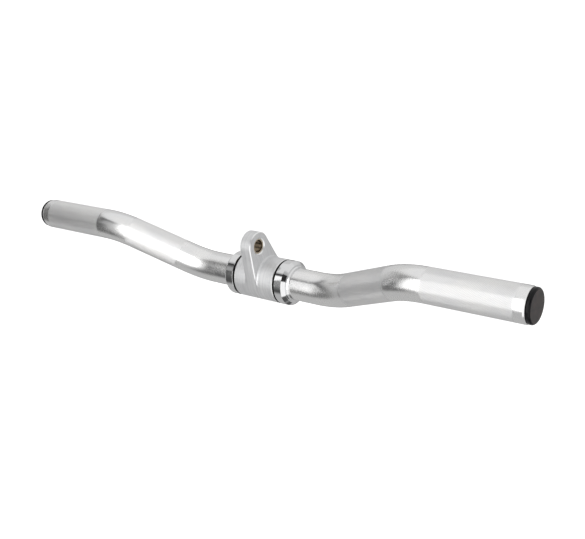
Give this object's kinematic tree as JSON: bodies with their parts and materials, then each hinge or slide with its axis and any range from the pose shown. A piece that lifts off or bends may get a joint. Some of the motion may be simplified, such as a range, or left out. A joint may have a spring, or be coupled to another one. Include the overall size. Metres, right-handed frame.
{
  "type": "revolving curl bar",
  "caption": "Bent aluminium grip bar with knurled grips that revolves in a central lugged hub, for hanging from a gym cable machine.",
  "frame": {"origin": "centre of the hanger eye", "axes": "+X along the bar and along the eye's bore, +Z from the bar up through the hanger lug, -Y to the front, towards which the bends lean at rest"},
  "size_m": [0.597, 0.0516, 0.0822],
  "materials": {
    "hub_aluminium": "satin, bead-blasted and brushed",
    "tube_aluminium": "brushed, with diamond-knurled grips",
    "collar_chrome": "turned and polished",
    "bush_bronze": "plain sintered bronze",
    "journal_polymer": "black bearing polymer",
    "screw_steel": "black oxide",
    "cap_plastic": "moulded, fine satin grain"
  },
  "bodies": {
    "hub": {"hanger_hub": "hub_aluminium", "eye_bush": "bush_bronze", "journal_bush_left": "journal_polymer", "journal_bush_right": "journal_polymer"},
    "bar": {"bar_tube": "tube_aluminium", "collar_left": "collar_chrome", "end_cap_left": "cap_plastic", "collar_screw_1_left": "screw_steel", "collar_screw_2_left": "screw_steel", "collar_right": "collar_chrome", "end_cap_right": "cap_plastic", "collar_screw_1_right": "screw_steel", "collar_screw_2_right": "screw_steel"}
  },
  "joints": [
    {"name": "bar_revolve", "type": "hinge", "parent": "hub", "child": "bar", "pos_m": [0.0016, 0, -0.04], "axis": [1, 0, 0], "continuous": true}
  ]
}
